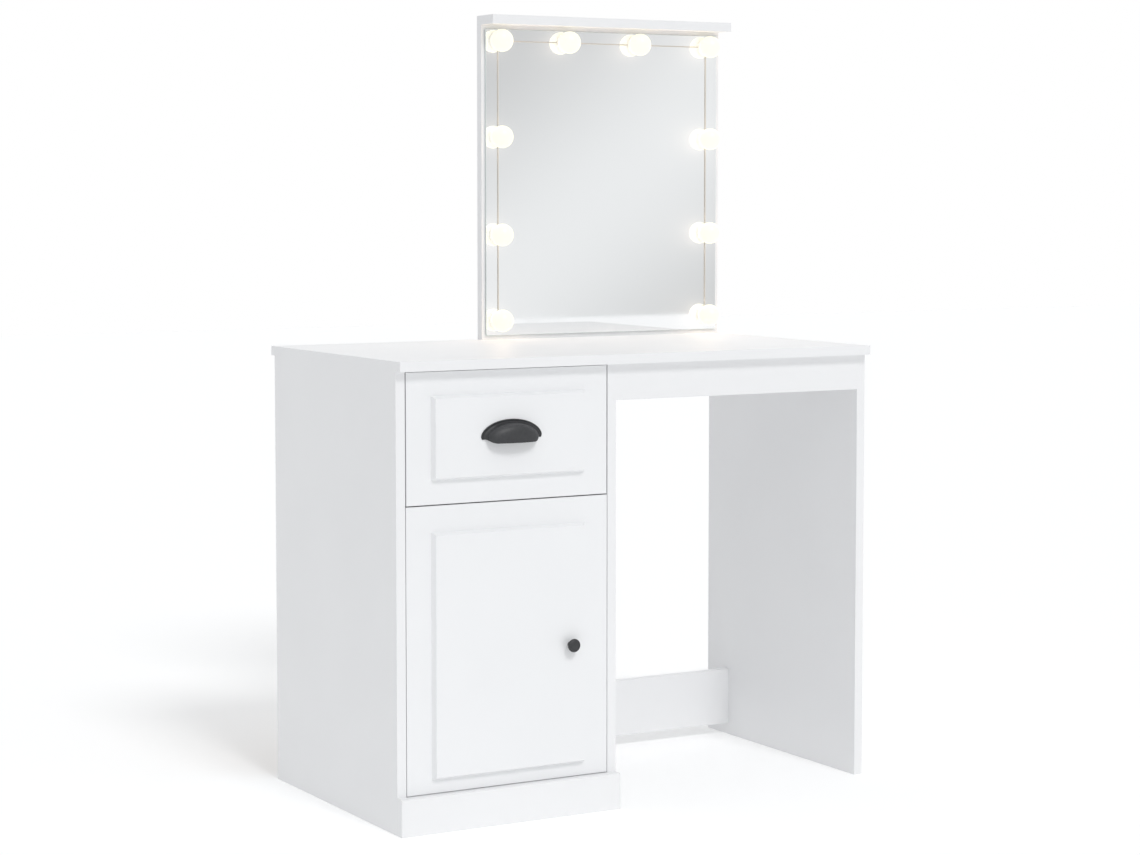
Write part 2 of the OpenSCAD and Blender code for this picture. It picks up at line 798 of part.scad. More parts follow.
module runner_middle(is_left) color("silver") in_frame()
    on_side(is_left) linear_extrude(runner_l)
        channel(middle_start, middle_end, middle_web, middle_h);

module runner_drawer(is_left) color("silver") in_frame() difference() {
    on_side(is_left) linear_extrude(runner_l)
        channel(inner_start, runner_w, runner_w - sheet, inner_h);
    runner_screws(0, fit, drawer_way(is_left));
}

runner_screw_ys = [runner_y + 60, runner_y + runner_l - 60];

// Screws through a runner channel: kind 0 is in the drawer member and kind 1 in the cabinet
// member, extra widens them into holes, and way is the way that they are driven
function drawer_way(is_left) = is_left ? right : left;
module runner_screws(kind, extra, way) {
    is_right_way = way[0] > 0;
    x = kind == 0 ? (is_right_way ? box_x - sheet : box_side_end + sheet)
                  : (is_right_way ? inner_end - sheet : inner_x + sheet);
    for (y = runner_screw_ys)
        if (extra > 0)
            rod([x, y, runner_z] - way, way, screw_d / 2 + extra, small_screw_l - 2 + 1 + extra);
        else
            runner_screw([x, y, runner_z], way);
}

// A low-headed screw that clears the middle channel
low_head_t = 1.6;
module runner_screw(p, way) {
    rod(p, way, screw_d / 2, small_screw_l - 2);
    rod(p - low_head_t * way, way, head_r, low_head_t);
}

module drawer_runner_screws() color("silver") in_frame() {
    runner_screws(0, 0, right);
    runner_screws(0, 0, left);
}

// Screws of the cabinet members and of the hinge plates
module cabinet_screws() color("silver") in_frame() {
    runner_screws(1, 0, right);
    runner_screws(1, 0, left);
    for (z = hinge_zs) for (s = [-1, 1])
        pan_screw([inner_x + hinge_plate_t, hinge_plate_y + hinge_plate_l / 2,
            z + s * hinge_screw_pitch / 2], left, screw_d, small_screw_l);
}

module cabinet_screw_holes() {
    runner_screws(1, fit, right);
    runner_screws(1, fit, left);
    for (z = hinge_zs) for (s = [-1, 1])
        rod([inner_x + hinge_plate_t + 1, hinge_plate_y + hinge_plate_l / 2,
            z + s * hinge_screw_pitch / 2], left, screw_d / 2 + fit, small_screw_l + 1 + fit);
}

// ---------------------------------------------------------------- nodes

worktop();
left_side_panel();
divider_panel();
right_leg_panel();
plinth_board();
cabinet_floor();
drawer_partition();
cabinet_back();
front_apron();
back_rail();
cam_housings();
cam_bolts();
dowels();
cabinet_screws();
mirror_board();
mirror_header();
mirror_glass();
mirror_tape();
mirror_board_screws();
lamp_wires();
lamp_bases();
lamp_led_boards();
for (i = [1:lamp_count])
    lamp_globe(i - 1);
drawer_front();
drawer_inner_front();
drawer_left_side();
drawer_right_side();
drawer_back();
drawer_bottom();
drawer_pull();
pull_screws();
drawer_box_screws();
drawer_runner_screws();
cabinet_door();
door_knob();
knob_screw();
hinge_cup_screws();
for (s = ["left", "right"]) {
    runner_cabinet(s == "left");
    runner_middle(s == "left");
    runner_drawer(s == "left");
}
for (k = [0, 1]) {
    name = ["lower_hinge_", "upper_hinge_"][k];
    hinge_cup(hinge_zs[k]);
    hinge_link(hinge_zs[k]);
    hinge_arm(hinge_zs[k]);
    hinge_plate(hinge_zs[k]);
}
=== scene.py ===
import math

import bmesh
import bpy
from mathutils import Matrix, Vector


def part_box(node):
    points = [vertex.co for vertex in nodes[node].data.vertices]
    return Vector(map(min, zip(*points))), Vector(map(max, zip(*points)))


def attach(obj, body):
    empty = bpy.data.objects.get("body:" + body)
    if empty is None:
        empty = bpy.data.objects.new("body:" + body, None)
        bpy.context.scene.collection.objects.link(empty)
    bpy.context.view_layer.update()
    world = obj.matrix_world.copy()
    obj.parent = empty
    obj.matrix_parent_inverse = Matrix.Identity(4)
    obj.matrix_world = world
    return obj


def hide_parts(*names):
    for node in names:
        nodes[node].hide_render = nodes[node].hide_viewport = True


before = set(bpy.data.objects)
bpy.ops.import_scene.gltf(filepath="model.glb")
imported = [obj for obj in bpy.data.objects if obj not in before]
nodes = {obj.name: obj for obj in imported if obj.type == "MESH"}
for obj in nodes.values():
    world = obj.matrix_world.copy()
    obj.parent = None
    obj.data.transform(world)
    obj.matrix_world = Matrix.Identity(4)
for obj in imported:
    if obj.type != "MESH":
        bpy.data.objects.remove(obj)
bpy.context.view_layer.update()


# ---------------------------------------------------------------------------------------
# Camera
# It stands well to the left of the table and a little above the worktop, with a long lens,
# so that upright edges stay nearly parallel.

camera = bpy.data.objects.new("camera", bpy.data.cameras.new("camera"))
camera.data.sensor_width = 36.0
camera.data.lens = 83.3
camera.data.shift_y = -0.046
camera.location = (-2.2509, -3.9178, 1.0157)
camera_turn = math.radians(29.8)
camera_tilt = math.radians(-4.0)
camera.rotation_euler = (math.pi / 2 + camera_tilt, 0, -camera_turn)
bpy.context.scene.collection.objects.link(camera)
bpy.context.scene.camera = camera


# ---------------------------------------------------------------------------------------
# Studio
# A plain pale floor in a white room, with one soft light in front of the table and a weaker
# one above it. None of it is part of the table.

bpy.context.scene.view_settings.view_transform = "Standard"


def add_node(tree, kind, inputs=None, **settings):
    """A shader node with its settings, and each input set to a value or joined to an output."""
    made = tree.nodes.new(kind)
    for name, value in settings.items():
        setattr(made, name, value)
    for socket, value in (inputs or {}).items():
        if isinstance(value, bpy.types.NodeSocket):
            tree.links.new(value, made.inputs[socket])
        else:
            made.inputs[socket].default_value = value
    return made


room = bpy.data.worlds.new("white_room")
bpy.context.scene.world = room
room.use_nodes = True
room_tree = room.node_tree
room_light = room_tree.nodes["Background"]
room_light.inputs["Color"].default_value = (0.97, 0.985, 1.0, 1.0)
room_light.inputs["Strength"].default_value = 0.58
room_backdrop = add_node(room_tree, "ShaderNodeBackground", {"Color": (1, 1, 1, 1)})

# What shiny things mirror: broad slanting bands of light and shade in front of the table,
# and behind it a wall that grows brighter towards the ceiling.
room_way = add_node(room_tree, "ShaderNodeTexCoord").outputs["Generated"]
room_bands = add_node(room_tree, "ShaderNodeMapping", {
    "Vector": room_way, "Rotation": (0, math.radians(-45), 0)}).outputs[0]
room_wave = add_node(room_tree, "ShaderNodeTexWave", {
    "Vector": room_bands, "Scale": 2.1, "Distortion": 0.0, "Phase Offset": 0.55})
room_shades = add_node(room_tree, "ShaderNodeMapRange", {
    "Value": room_wave.outputs["Fac"], "To Min": 0.62, "To Max": 0.89}).outputs[0]
room_axes = add_node(room_tree, "ShaderNodeSeparateXYZ", {0: room_way}).outputs
room_behind = add_node(room_tree, "ShaderNodeMapRange", {
    "Value": room_axes["Y"], "From Min": -0.1, "From Max": 0.2}).outputs[0]
room_overhead = add_node(room_tree, "ShaderNodeMapRange", {
    "Value": room_axes["Z"], "From Min": 0.25, "From Max": 0.6, "To Min": 0.86,
    "To Max": 1.7}).outputs[0]
room_strength = add_node(room_tree, "ShaderNodeMix", {
    0: room_behind, 2: room_shades, 3: room_overhead}).outputs[0]
room_mirrored = add_node(room_tree, "ShaderNodeBackground", {
    "Color": (0.985, 0.995, 1.0, 1.0), "Strength": room_strength})
ray = add_node(room_tree, "ShaderNodeLightPath").outputs
room_unseen = add_node(room_tree, "ShaderNodeMixShader", {
    0: ray["Is Glossy Ray"], 1: room_light.outputs[0], 2: room_mirrored.outputs[0]})
room_mix = add_node(room_tree, "ShaderNodeMixShader", {
    0: ray["Is Camera Ray"], 1: room_unseen.outputs[0], 2: room_backdrop.outputs[0]})
room_tree.links.new(room_mix.outputs[0], room_tree.nodes["World Output"].inputs["Surface"])

FLOOR_REACH = 14.0
floor_bm = bmesh.new()
bmesh.ops.create_grid(floor_bm, x_segments=1, y_segments=1, size=FLOOR_REACH)
floor_mesh = bpy.data.meshes.new("studio_floor")
floor_bm.to_mesh(floor_mesh)
floor_bm.free()
studio_floor = bpy.data.objects.new("studio_floor", floor_mesh)
bpy.context.scene.collection.objects.link(studio_floor)
floor_paint = bpy.data.materials.new("floor_paint")
floor_paint.use_nodes = True
floor_shader = floor_paint.node_tree.nodes["Principled BSDF"]
floor_shader.inputs["Base Color"].default_value = (0.92, 0.92, 0.92, 1)
floor_shader.inputs["Roughness"].default_value = 0.9
floor_shader.inputs["Specular IOR Level"].default_value = 0.0
floor_shader.inputs["Emission Color"].default_value = (1, 1, 1, 1)
floor_shader.inputs["Emission Strength"].default_value = 0.20
studio_floor.data.materials.append(floor_paint)


def studio_sun(name, height, softness, strength):
    """An even soft light from in front, from this many degrees above the floor."""
    sun = bpy.data.objects.new(name, bpy.data.lights.new(name, "SUN"))
    sun.data.angle = math.radians(softness)
    sun.data.energy = strength
    sun.rotation_euler = (math.radians(90 - height), 0, 0)
    bpy.context.scene.collection.objects.link(sun)


studio_sun("front_light", 44, 16, 0.97)
studio_sun("top_light", 88, 60, 0.28)


# ---------------------------------------------------------------------------------------
# Boards of the table, the mirror and the header
# Particle board with a white melamine foil on both faces, and a strip of the same white
# glued to each edge that shows. The strips are trimmed flush and their corners eased.

def new_finish(name, colour, roughness, metallic=0.0):
    """A material with one shader; its tree and its shader are given back for more detail."""
    finish = bpy.data.materials.new(name)
    finish.use_nodes = True
    shader = finish.node_tree.nodes["Principled BSDF"]
    shader.inputs["Base Color"].default_value = (*colour, 1)
    shader.inputs["Roughness"].default_value = roughness
    shader.inputs["Metallic"].default_value = metallic
    return finish, finish.node_tree, shader


def speckle(tree, scale, detail=2.0, stretch=(1, 1, 1)):
    """A noise through the piece, with its grains about 1 / scale metres wide."""
    place = add_node(tree, "ShaderNodeTexCoord").outputs["Object"]
    if tuple(stretch) != (1, 1, 1):
        place = add_node(tree, "ShaderNodeMapping", {"Vector": place, "Scale": stretch}).outputs[0]
    noise = add_node(tree, "ShaderNodeTexNoise",
                     {"Vector": place, "Scale": scale, "Detail": detail})
    return noise.outputs["Fac"]


def spread(tree, factor, low, high):
    """A noise, which keeps near its middle, spread over the whole range from low to high."""
    ranged = add_node(tree, "ShaderNodeMapRange", {
        "Value": factor, "From Min": 0.3, "From Max": 0.7, "To Min": low, "To Max": high})
    return ranged.outputs[0]


def two_colours(tree, factor, first, second):
    """One colour where the factor is 0, and the other where it is 1."""
    mix = add_node(tree, "ShaderNodeMix", data_type="RGBA")
    tree.links.new(factor, mix.inputs["Factor"])
    for socket, value in ((6, first), (7, second)):
        if isinstance(value, bpy.types.NodeSocket):
            tree.links.new(value, mix.inputs[socket])
        else:
            mix.inputs[socket].default_value = (*value, 1)
    return mix.outputs[2]


def press_relief(tree, shader, height, depth, below=None):
    """A fine relief that is this many metres deep, laid over another relief if one is given."""
    bump = add_node(tree, "ShaderNodeBump", {"Height": height, "Distance": depth})
    if below is not None:
        tree.links.new(below, bump.inputs["Normal"])
    tree.links.new(bump.outputs[0], shader.inputs["Normal"])
    return bump.outputs[0]


BAND = 0.0009
SEAM = 0.00007
FOIL_LIGHT = (0.873, 0.876, 0.884)
FOIL_DARK = (0.858, 0.861, 0.870)
SEAM_SHADE = (0.66, 0.66, 0.66)


def board_finish(node, banded):
    """White foil with its pearl grain, and the fine seams along the edges named in banded."""
    low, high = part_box(node)
    finish, tree, shader = new_finish(node + "_foil", FOIL_LIGHT, 0.42)
    colour = two_colours(tree, spread(tree, speckle(tree, 5), 0, 1), FOIL_LIGHT, FOIL_DARK)
    place = add_node(tree, "ShaderNodeTexCoord").outputs["Object"]
    axes = add_node(tree, "ShaderNodeSeparateXYZ", {0: place}).outputs
    seam = None
    for edge in banded:
        axis = "xyz".index(edge[1])
        at = high[axis] - BAND if edge[0] == "+" else low[axis] + BAND
        line = add_node(tree, "ShaderNodeMath", {0: axes[axis], 1: at, 2: SEAM},
                        operation="COMPARE").outputs[0]
        if seam is not None:
            line = add_node(tree, "ShaderNodeMath", {0: seam, 1: line},
                            operation="MAXIMUM").outputs[0]
        seam = line
    if seam is not None:
        colour = two_colours(tree, seam, colour, SEAM_SHADE)
    tree.links.new(colour, shader.inputs["Base Color"])
    tree.links.new(spread(tree, speckle(tree, 9, 3), 0.36, 0.48), shader.inputs["Roughness"])
    pearl = press_relief(tree, shader, speckle(tree, 1400, 2), 0.00003)
    press_relief(tree, shader, speckle(tree, 60, 1), 0.00008, pearl)
    return finish


def wear(node, finish):
    """The CAD node takes this finish as its only material."""
    materials = nodes[node].data.materials
    materials.clear()
    materials.append(finish)


SAME_PLACE = 0.00001
HARD_TURN = math.radians(35)


def ease_edges(node, radius, segments=2):
    """Rounds every hard edge of a CAD node a little, without touching its own mesh."""
    weld = nodes[node].modifiers.new("weld", "WELD")
    weld.merge_threshold = SAME_PLACE
    bevel = nodes[node].modifiers.new("eased_edges", "BEVEL")
    bevel.width = radius
    bevel.segments = segments
    bevel.limit_method = "ANGLE"
    bevel.angle_limit = HARD_TURN
    bevel.harden_normals = True


BOARDS = {
    "worktop": ("-x", "+x", "-y", "+y"),
    "left_side_panel": ("-y", "+y", "-z"),
    "divider_panel": ("-y", "+y", "-z"),
    "right_leg_panel": ("-y", "+y", "-z"),
    "plinth_board": ("-x", "+x", "+z", "-z"),
    "cabinet_floor": ("-y",),
    "drawer_partition": ("-y",),
    "front_apron": ("-z",),
    "back_rail": ("-z", "+z"),
    "mirror_board": ("-x", "+x"),
    "mirror_header": ("-x", "+x", "-y", "+y"),
}
for board_node, banded_edges in BOARDS.items():
    wear(board_node, board_finish(board_node, banded_edges))
    ease_edges(board_node, 0.0005)


# ---------------------------------------------------------------------------------------
# Drawer front and door
# Fibreboard milled to a raised panel with sloping edges, then sprayed with white satin
# lacquer, which rounds every edge and dries with a faint orange peel.

lacquer, lacquer_tree, lacquer_shader = new_finish("satin_lacquer", (0.872, 0.878, 0.888), 0.36)
lacquer_cloud = spread(lacquer_tree, speckle(lacquer_tree, 7), 0, 1)
lacquer_tree.links.new(
    two_colours(lacquer_tree, lacquer_cloud, (0.872, 0.878, 0.888), (0.860, 0.866, 0.876)),
    lacquer_shader.inputs["Base Color"])
lacquer_tree.links.new(
    spread(lacquer_tree, speckle(lacquer_tree, 14, 3), 0.30, 0.42),
    lacquer_shader.inputs["Roughness"])
lacquer_peel = press_relief(lacquer_tree, lacquer_shader, speckle(lacquer_tree, 420, 1), 0.00004)
press_relief(lacquer_tree, lacquer_shader, speckle(lacquer_tree, 2600, 1), 0.00001, lacquer_peel)
for front in ("drawer_front", "cabinet_door"):
    wear(front, lacquer)
    ease_edges(front, 0.0008, 3)


# ---------------------------------------------------------------------------------------
# Drawer box
# Thinner particle board in the same white foil, screwed together round a sheet of
# hardboard that slides into grooves. A like sheet closes the back of the cabinet.

for box_board in ("drawer_inner_front", "drawer_left_side", "drawer_right_side", "drawer_back"):
    wear(box_board, board_finish(box_board, ("+z",)))
    ease_edges(box_board, 0.0004)


def hardboard_finish(node, axis, bare_side):
    """Bare brown fibres on the side of the sheet's middle that is GREATER_THAN or LESS_THAN it
    along an axis numbered 0 to 2, and a printed white film on the other side."""
    low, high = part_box(node)
    middle = (low[axis] + high[axis]) / 2
    finish, tree, shader = new_finish(node + "_hardboard", (0.80, 0.80, 0.79), 0.5)
    place = add_node(tree, "ShaderNodeTexCoord").outputs["Object"]
    along = add_node(tree, "ShaderNodeSeparateXYZ", {0: place}).outputs[axis]
    bare = add_node(tree, "ShaderNodeMath", {0: along, 1: middle}, operation=bare_side)
    fibres = spread(tree, speckle(tree, 700, 4), 0, 1)
    brown = two_colours(tree, fibres, (0.30, 0.19, 0.11), (0.42, 0.28, 0.17))
    white = two_colours(tree, fibres, (0.84, 0.84, 0.83), (0.82, 0.82, 0.81))
    tree.links.new(two_colours(tree, bare.outputs[0], white, brown), shader.inputs["Base Color"])
    tree.links.new(spread(tree, fibres, 0.5, 0.75), shader.inputs["Roughness"])
    press_relief(tree, shader, speckle(tree, 900, 4), 0.00006)
    return finish


for sheet_node, axis, bare_side in (("cabinet_back", 1, "GREATER_THAN"),
                                    ("drawer_bottom", 2, "LESS_THAN")):
    wear(sheet_node, hardboard_finish(sheet_node, axis, bare_side))
    ease_edges(sheet_node, 0.0002)


# ---------------------------------------------------------------------------------------
# Drawer pull
# A cup pull cast in zinc and powder coated in matte charcoal: half of a shallow cup that
# is open below, growing out of a flat flange with a raised bead round its rim.

black_coat, black_tree, black_shader = new_finish(
    "charcoal_powder_coat", (0.033, 0.034, 0.037), 0.45)
black_cloud = spread(black_tree, speckle(black_tree, 160, 3), 0, 1)
black_tree.links.new(
    two_colours(black_tree, black_cloud, (0.029, 0.030, 0.033), (0.037, 0.038, 0.041)),
    black_shader.inputs["Base Color"])
black_tree.links.new(
    spread(black_tree, speckle(black_tree, 240, 3), 0.42, 0.52),
    black_shader.inputs["Roughness"])
press_relief(black_tree, black_shader, speckle(black_tree, 3200, 2), 0.00005)


def new_piece(name, bm, finish, body, slot, *replaced):
    """Turns a finished bmesh into a piece that rides on a body and stands for CAD nodes."""
    mesh = bpy.data.meshes.new(name)
    bm.to_mesh(mesh)
    bm.free()
    mesh.materials.append(finish)
    piece = bpy.data.objects.new(name, mesh)
    bpy.context.scene.collection.objects.link(piece)
    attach(piece, body)
    if replaced:
        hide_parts(*replaced)
    return piece


def shade_smooth(bm, angle=40):
    """Smooth shading, with the edges that turn by more than the angle kept crisp."""
    for face in bm.faces:
        face.smooth = True
    for edge in bm.edges:
        edge.smooth = len(edge.link_faces) == 2 and edge.calc_face_angle() < math.radians(angle)


pull_low, pull_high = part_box("drawer_pull")
PULL_HALF = (pull_high.x - pull_low.x) / 2
PULL_OUT = pull_high.y - pull_low.y
PULL_DROP = 0.006
PULL_RISE = pull_high.z - pull_low.z - PULL_DROP
PULL_TOP_FLANGE = 0.006
PULL_END_FLANGE = 0.009
PULL_TUCK = 0.05
TUCK_POWER = 8
PULL_WALL = 0.0014
ARC_STEPS = 112
POST_R = 0.0035
POST_L = 0.0085
SCREW_HEAD_R = 0.004
pull_foot = Vector(((pull_low.x + pull_high.x) / 2, pull_high.y, pull_high.z - PULL_RISE))

pull_bm = bmesh.new()
pull_arc = bmesh.ops.create_circle(
    pull_bm, cap_ends=False, segments=ARC_STEPS, radius=1.0)["verts"]
bmesh.ops.rotate(pull_bm, verts=pull_arc, cent=(0, 0, 0),
                 matrix=Matrix.Rotation(math.pi / 2, 3, "X"))
below_middle = [v for v in pull_arc if v.co.z < -0.001]
bmesh.ops.delete(pull_bm, geom=below_middle, context="VERTS")
pull_arc = list(pull_bm.verts)

# Each ring is a half ellipse. The first ones make the flange with its bead: how far they lie
# inside the rim, and how far they stand out. The rest follow the cup, which swells fast where
# it leaves the flange. The cup's lip hangs lower than the flange's foot.
pull_rings = [(0.0, 0.0), (0.0, 0.0012), (0.0003, 0.0019), (0.0009, 0.0023), (0.0016, 0.0021),
              (0.0021, 0.0015), (0.0040, 0.0014), (0.0052, 0.0017)]
pull_rings = [(PULL_HALF - inset, PULL_RISE - inset, out, 0.0) for inset, out in pull_rings]
cup_half = PULL_HALF - PULL_END_FLANGE
cup_rise = PULL_RISE - PULL_TOP_FLANGE
CUP_STEPS = 24
CUP_SQUARE = 0.7
CUP_START = 0.0024
LIP_FROM = 0.75 * PULL_OUT
LIP_POWER = 1.4
for step in range(1, CUP_STEPS + 1):
    swing = math.pi / 2 * step / CUP_STEPS
    shrink = math.cos(swing) if step < CUP_STEPS else 0.0
    out = CUP_START + (PULL_OUT - CUP_START) * math.sin(swing) ** CUP_SQUARE
    drop = PULL_DROP * min(1.0, out / LIP_FROM) ** LIP_POWER
    pull_rings.append((cup_half * shrink, cup_rise * shrink ** CUP_SQUARE, out, drop))


def lay_ring(verts, directions, half, rise, out, drop):
    """Puts the vertices of one arc on a half ellipse that hangs down by drop at its ends.
    The very ends are tucked in, so that the flange has round corners."""
    for vert, (across, up) in zip(verts, directions):
        tucked = across * (1 - PULL_TUCK * (1 - up) ** TUCK_POWER)
        vert.co = Vector((half * tucked, -out, (rise + drop) * up - drop))


pull_arc.sort(key=lambda v: -v.co.x)
pull_directions = [(v.co.x, v.co.z) for v in pull_arc]
lay_ring(pull_arc, pull_directions, *pull_rings[0])
arc_edges = list(pull_bm.edges)
ring_verts = pull_arc
for ring in pull_rings[1:]:
    grown = bmesh.ops.extrude_edge_only(pull_bm, edges=arc_edges)["geom"]
    new_verts = {g for g in grown if isinstance(g, bmesh.types.BMVert)}
    arc_edges = [g for g in grown if isinstance(g, bmesh.types.BMEdge)
                 and all(v in new_verts for v in g.verts)]
    ring_verts = [next(e.other_vert(v) for e in v.link_edges if e.other_vert(v) in new_verts)
                  for v in ring_verts]
    lay_ring(ring_verts, pull_directions, *ring)
bmesh.ops.remove_doubles(pull_bm, verts=pull_bm.verts, dist=SAME_PLACE / 2)
bmesh.ops.recalc_face_normals(pull_bm, faces=pull_bm.faces)
if sum(face.normal.y * face.calc_area() for face in pull_bm.faces) > 0:
    bmesh.ops.reverse_faces(pull_bm, faces=pull_bm.faces)
bmesh.ops.solidify(pull_bm, geom=pull_bm.faces, thickness=PULL_WALL)
bmesh.ops.translate(pull_bm, verts=pull_bm.verts, vec=pull_foot)


def add_rod(bm, start, end, radius, segments=16):
    """A closed round rod from one point to another."""
    way = end - start
    turn = way.to_track_quat("Z", "Y").to_matrix().to_4x4()
    bmesh.ops.create_cone(bm, cap_ends=True, segments=segments, radius1=radius, radius2=radius,
                          depth=way.length, matrix=Matrix.Translation((start + end) / 2) @ turn)


# Two posts inside the cup take the screws.
screws_low, screws_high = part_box("pull_screws")
for post_x in (screws_low.x + SCREW_HEAD_R, screws_high.x - SCREW_HEAD_R):
    post_foot = Vector((post_x, pull_foot.y, (screws_low.z + screws_high.z) / 2))
    add_rod(pull_bm, post_foot, post_foot - Vector((0, POST_L, 0)), POST_R, 32)
shade_smooth(pull_bm, 50)
new_piece("cup_pull", pull_bm, black_coat, "drawer", "black_metal", "drawer_pull")


# ---------------------------------------------------------------------------------------
# Door knob
# A turned knob with the same charcoal coat: a small foot, a waist, and a mushroom head
# with a rolled rim and a slightly domed face. One screw from inside the door holds it.

def turned(profile, steps=72):
    """A bmesh of a shape turned round the Y axis. A profile point is (radius, distance out)."""
    bm = bmesh.new()
    verts = [bm.verts.new((radius, -out, 0)) for radius, out in profile]
    edges = [bm.edges.new(pair) for pair in zip(verts, verts[1:])]
    bmesh.ops.spin(bm, geom=verts + edges, cent=(0, 0, 0), axis=(0, 1, 0), angle=2 * math.pi,
                   steps=steps, use_merge=True)
    bmesh.ops.remove_doubles(bm, verts=bm.verts, dist=SAME_PLACE / 2)
    bmesh.ops.recalc_face_normals(bm, faces=bm.faces)
    return bm


def arc(centre, radius, start, end, steps):
    """Points of a round stretch of a profile, with its angles in degrees from straight out."""
    angles = [math.radians(start + (end - start) * k / steps) for k in range(steps + 1)]
    return [(centre[0] + radius * math.sin(a), centre[1] + radius * math.cos(a)) for a in angles]


knob_low, knob_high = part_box("door_knob")
KNOB_R = (knob_high.z - knob_low.z) / 2
KNOB_OUT = knob_high.y - knob_low.y
knob_foot = Vector((
    (knob_low.x + knob_high.x) / 2, knob_high.y, (knob_low.z + knob_high.z) / 2))
FOOT_R = 0.0048
FOOT_SIDE = 0.0009
FOOT_ROUND = 0.0006
RIM_R = 0.0032
RIM_BEHIND_FACE = 0.0004
knob_profile = [(0.0, 0.0), (FOOT_R, 0.0), (FOOT_R, FOOT_SIDE)]
knob_profile += arc((FOOT_R - FOOT_ROUND, FOOT_SIDE), FOOT_ROUND, 90, 0, 4)
knob_profile += [(0.0040, 0.0022), (0.0037, 0.0048), (0.0037, 0.0078), (0.0045, 0.0102)]
knob_profile += [(0.0058, 0.0117)]
knob_profile += arc((KNOB_R - RIM_R, KNOB_OUT - RIM_R - RIM_BEHIND_FACE), RIM_R, 180, 12, 14)
knob_profile += [(0.0080, KNOB_OUT - 0.0010), (0.0075, KNOB_OUT - 0.0007)]
knob_profile += [(0.0050, KNOB_OUT - 0.0002), (0.0025, KNOB_OUT - 0.00005), (0.0, KNOB_OUT)]
knob_bm = turned(knob_profile)
bmesh.ops.translate(knob_bm, verts=knob_bm.verts, vec=knob_foot)
shade_smooth(knob_bm)
new_piece("mushroom_knob", knob_bm, black_coat, "door", "black_metal", "door_knob")


# ---------------------------------------------------------------------------------------
# Mirror
# A sheet of float glass, silvered and painted grey behind, with its edges ground to a
# small arris. Three upright strips of foam tape hold it to the board.

silver, silver_tree, silver_shader = new_finish("silvered_face", (0.93, 0.94, 0.945), 0.03, 1.0)
silver_tree.links.new(
    spread(silver_tree, speckle(silver_tree, 11, 4), 0.012, 0.035),
    silver_shader.inputs["Roughness"])
silver_shader.inputs["Coat Weight"].default_value = 1.0
silver_shader.inputs["Coat Roughness"].default_value = 0.6
press_relief(silver_tree, silver_shader, speckle(silver_tree, 3, 1), 0.00004)
ground_edge, edge_tree, edge_shader = new_finish("ground_glass_edge", (0.70, 0.77, 0.75), 0.35)
edge_tree.links.new(
    spread(edge_tree, speckle(edge_tree, 900, 2), 0.28, 0.5), edge_shader.inputs["Roughness"])
press_relief(edge_tree, edge_shader, speckle(edge_tree, 1800, 2), 0.00003)
back_paint, paint_tree, paint_shader = new_finish("mirror_back_paint", (0.20, 0.21, 0.22), 0.6)
press_relief(paint_tree, paint_shader, speckle(paint_tree, 500, 3), 0.00005)

ARRIS = 0.0007
glass_low, glass_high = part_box("mirror_glass")
mirror_bm = bmesh.new()
bmesh.ops.create_cube(mirror_bm, size=1.0)
bmesh.ops.scale(mirror_bm, verts=mirror_bm.verts, vec=glass_high - glass_low)
bmesh.ops.translate(mirror_bm, verts=mirror_bm.verts, vec=(glass_low + glass_high) / 2)
bmesh.ops.bevel(mirror_bm, geom=mirror_bm.edges, offset=ARRIS, segments=1, profile=0.5,
                affect="EDGES", material=-1)
mirror_bm.normal_update()
for face in mirror_bm.faces:
    face.material_index = 0 if face.normal.y < -0.9 else 2 if face.normal.y > 0.9 else 1
mirror = new_piece("mirror_sheet", mirror_bm, silver, "carcass", "mirror_silver", "mirror_glass")
mirror.data.materials.append(ground_edge)
mirror.data.materials.append(back_paint)

foam, foam_tree, foam_shader = new_finish("foam_tape_side", (0.10, 0.10, 0.10), 0.9)
foam_cells = spread(foam_tree, speckle(foam_tree, 1500, 2), 0, 1)
foam_tree.links.new(two_colours(foam_tree, foam_cells, (0.07, 0.07, 0.07), (0.14, 0.14, 0.14)),
                    foam_shader.inputs["Base Color"])
press_relief(foam_tree, foam_shader, speckle(foam_tree, 1500, 2), 0.0002)
wear("mirror_tape", foam)


# ---------------------------------------------------------------------------------------
# Lamps
# Ten opal plastic globes, lit warm white, each snapped onto a round white base that is
# stuck on the glass. Up the left, along the top and down the right, in the wire's order.

opal, opal_tree, opal_shader = new_finish("lit_opal", (0.35, 0.345, 0.29), 0.35)
opal_shader.inputs["Emission Color"].default_value = (1.0, 0.985, 0.80, 1)
opal_shader.inputs["Emission Strength"].default_value = 0.78
opal_tree.links.new(
    spread(opal_tree, speckle(opal_tree, 120, 2), 0.30, 0.42), opal_shader.inputs["Roughness"])
press_relief(opal_tree, opal_shader, speckle(opal_tree, 900, 1), 0.00002)
base_painted_glow, base_tree, base_shader = new_finish("lamp_base_painted_glow", (0.86, 0.85, 0.82), 0.3)
# The white plastic bases get a faint warm emission of their own. This is painted glow standing in
# for the globes' light on them, since a base is no lamp.
base_shader.inputs["Emission Color"].default_value = (1.0, 0.93, 0.72, 1)
base_shader.inputs["Emission Strength"].default_value = 0.25
base_tree.links.new(
    spread(base_tree, speckle(base_tree, 200, 2), 0.25, 0.38), base_shader.inputs["Roughness"])
press_relief(base_tree, base_shader, speckle(base_tree, 1600, 1), 0.00002)

LAMP_COUNT = 10
GLOBE_WALL = 0.0015
base_low, base_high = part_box("lamp_bases")
BASE_T = base_high.y - base_low.y
BASE_R = 0.017
GLOBE_R = 0.020
GLOBE_SEAT = BASE_R - 0.001
globe_centre_out = BASE_T + math.sqrt(GLOBE_R ** 2 - GLOBE_SEAT ** 2)
glass_front = glass_low.y
lamp_spots = []
for number in range(1, LAMP_COUNT + 1):
    globe_low, globe_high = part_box(f"lamp_globe_{number}")
    middle = (globe_low + globe_high) / 2
    lamp_spots.append(Vector((middle.x, glass_front, middle.z)))

